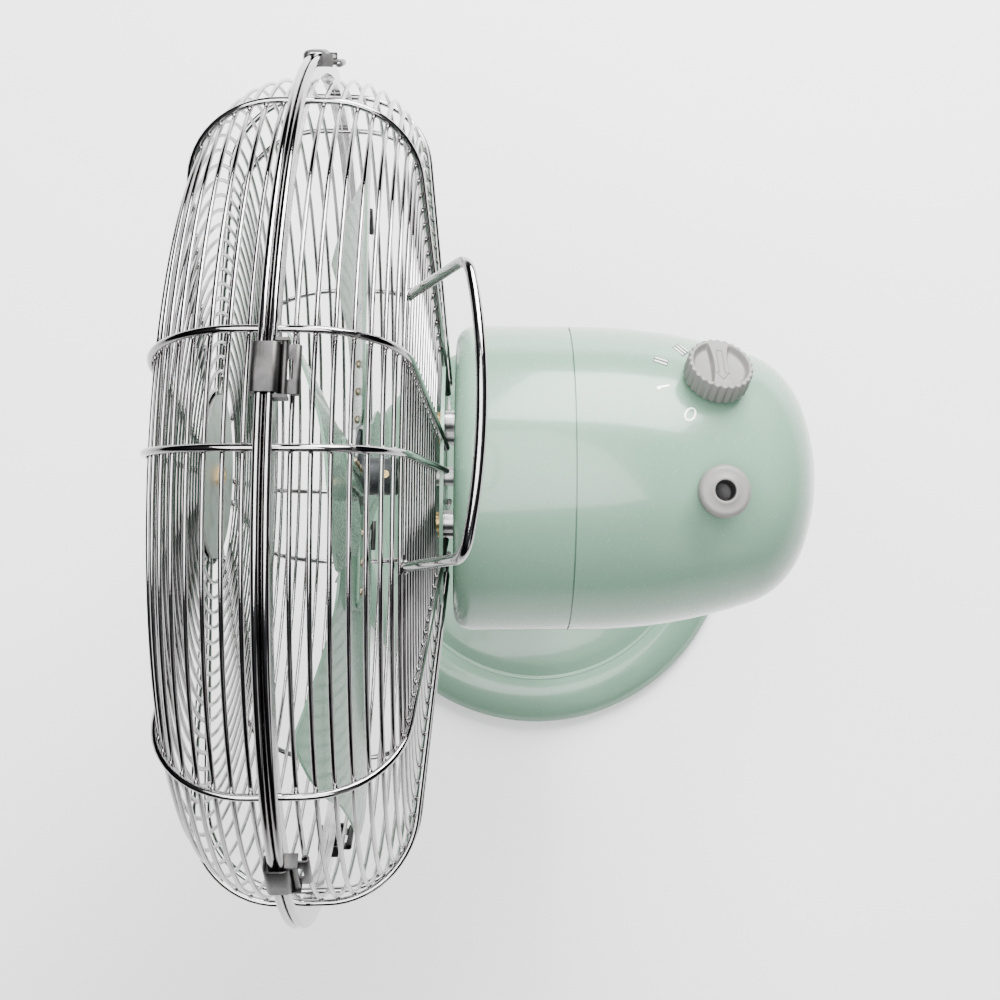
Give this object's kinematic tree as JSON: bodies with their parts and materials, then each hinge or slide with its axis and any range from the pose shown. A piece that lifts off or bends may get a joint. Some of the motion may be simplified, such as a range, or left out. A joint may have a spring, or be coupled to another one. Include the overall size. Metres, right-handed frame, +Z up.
{
  "type": "oscillating desk fan",
  "caption": "Oscillating desk fan: pitched sheet blades in a chrome wire guard with handle and rim clips, domed motor housing with knobs, tilting neck and round weighted base.",
  "frame": {"origin": "centre of the base's underside, on the table", "axes": "+Z up, the fan blows towards -Y, the motor shaft runs along Y, +X is the side away from the speed knob"},
  "size_m": [0.35, 0.2767, 0.4826],
  "materials": {
    "sage_paint": "smooth gloss enamel",
    "pad_rubber": "matt",
    "zinc_steel": "bright zinc",
    "iron_weight": "rough cast",
    "dark_plastic": "fine grain",
    "light_plastic": "satin moulded",
    "chrome_wire": "bright plated",
    "clip_steel": "rolled spring steel",
    "die_cast": "as cast",
    "core_steel": "stacked sheet",
    "copper_wire": "varnished winding",
    "bronze": "turned",
    "brass_screw": "turned and slotted",
    "hub_steel": "dark phosphate",
    "nylon": "moulded",
    "capacitor_case": "moulded",
    "badge_chrome": "polished disc"
  },
  "bodies": {
    "base": {"base_pad": "pad_rubber", "base_plate": "zinc_steel", "base_weight": "iron_weight", "base_shell": "sage_paint", "cord_inlet": "dark_plastic", "column": "sage_paint", "column_nut": "zinc_steel", "tilt_bolt": "zinc_steel", "tilt_nut": "light_plastic"},
    "neck": {"tilt_knuckle": "sage_paint", "swing_arm": "zinc_steel"},
    "head": {"motor_bracket": "die_cast", "front_housing": "sage_paint", "rear_housing": "sage_paint", "seam_band": "sage_paint", "front_bell": "die_cast", "rear_bell": "die_cast", "stator_core": "core_steel", "stator_coils": "copper_wire", "stator_bolts": "zinc_steel", "shaft_bushes": "bronze", "gear_case": "die_cast", "speed_switch": "dark_plastic", "run_capacitor": "capacitor_case", "guard_plate": "sage_paint", "guard_spacers": "zinc_steel", "guard_screws": "brass_screw", "rear_rings": "chrome_wire", "rear_ribs": "chrome_wire", "rear_rim": "chrome_wire", "carry_handle": "chrome_wire", "front_rim": "chrome_wire", "front_rings": "chrome_wire", "front_ribs": "chrome_wire", "front_badge": "badge_chrome", "badge_back": "zinc_steel", "badge_screw": "brass_screw", "clip_pins": "zinc_steel"},
    "rotor": {"motor_shaft": "zinc_steel", "rotor_core": "core_steel", "worm": "bronze", "blade_hub": "hub_steel", "blade_1": "sage_paint", "blade_2": "sage_paint", "blade_3": "sage_paint", "blade_4": "sage_paint", "blade_rivets": "zinc_steel", "hub_screw": "brass_screw"},
    "wheel": {"gear_wheel": "nylon"},
    "crank": {"crank": "zinc_steel"},
    "link": {"swing_link": "zinc_steel"},
    "swing_knob": {"swing_knob": "light_plastic", "knob_rod": "zinc_steel"},
    "speed_knob": {"speed_knob": "light_plastic"},
    "clip_1": {"clip_1": "clip_steel"},
    "clip_2": {"clip_2": "clip_steel"},
    "clip_3": {"clip_3": "clip_steel"},
    "clip_4": {"clip_4": "clip_steel"},
    "clip_5": {"clip_5": "clip_steel"},
    "clip_6": {"clip_6": "clip_steel"}
  },
  "joints": [
    {"name": "tilt", "type": "hinge", "parent": "base", "child": "neck", "pos_m": [0, 0, 0.188], "axis": [1, 0, 0], "range_deg": [-30, 15]},
    {"name": "swing", "type": "hinge", "parent": "neck", "child": "head", "pos_m": [0, 0, 0.25], "axis": [0, 0, 1], "range_deg": [-40, 40]},
    {"name": "fan_spin", "type": "hinge", "parent": "head", "child": "rotor", "pos_m": [0, -0.1, 0.29], "axis": [0, 1, 0], "continuous": true},
    {"name": "wheel_turn", "type": "hinge", "parent": "head", "child": "wheel", "pos_m": [0.0125, 0.054, 0.29], "axis": [0, 0, 1], "continuous": true},
    {"name": "crank_turn", "type": "hinge", "parent": "head", "child": "crank", "pos_m": [0.0125, 0.054, 0.27], "axis": [0, 0, 1], "range_deg": [-90, 90]},
    {"name": "link_turn", "type": "hinge", "parent": "crank", "child": "link", "pos_m": [0.0035, 0.054, 0.244], "axis": [0, 0, 1], "range_deg": [-90, 90]},
    {"name": "swing_knob_push", "type": "slide", "parent": "head", "child": "swing_knob", "axis": [0, 0, 1], "range_m": [-0.004, 0]},
    {"name": "speed_turn", "type": "hinge", "parent": "head", "child": "speed_knob", "pos_m": [-0.03212, 0.054, 0.33946], "axis": [-0.5394, 0.1392, 0.8305], "range_deg": [-90, 0]},
    {"name": "clip_1_open", "type": "hinge", "parent": "head", "child": "clip_1", "pos_m": [-0.01451, -0.09845, 0.46279], "axis": [-0.9965, 0, -0.0837], "range_deg": [0, 40]},
    {"name": "clip_2_open", "type": "hinge", "parent": "head", "child": "clip_2", "pos_m": [-0.1569, -0.09845, 0.36383], "axis": [-0.4258, 0, -0.9048], "range_deg": [0, 40]},
    {"name": "clip_3_open", "type": "hinge", "parent": "head", "child": "clip_3", "pos_m": [-0.14239, -0.09845, 0.19104], "axis": [0.5707, 0, -0.8211], "range_deg": [0, 40]},
    {"name": "clip_4_open", "type": "hinge", "parent": "head", "child": "clip_4", "pos_m": [0.01451, -0.09845, 0.11721], "axis": [0.9965, 0, 0.0837], "range_deg": [0, 40]},
    {"name": "clip_5_open", "type": "hinge", "parent": "head", "child": "clip_5", "pos_m": [0.1569, -0.09845, 0.21617], "axis": [0.4258, 0, 0.9048], "range_deg": [0, 40]},
    {"name": "clip_6_open", "type": "hinge", "parent": "head", "child": "clip_6", "pos_m": [0.14239, -0.09845, 0.38896], "axis": [-0.5707, 0, 0.8211], "range_deg": [0, 40]}
  ],
  "couplings": [
    {"joint": "wheel_turn", "follows": "fan_spin", "ratio": 0.05},
    {"joint": "crank_turn", "follows": "swing", "ratio": -2.25},
    {"joint": "link_turn", "follows": "swing", "ratio": 2.25}
  ]
}
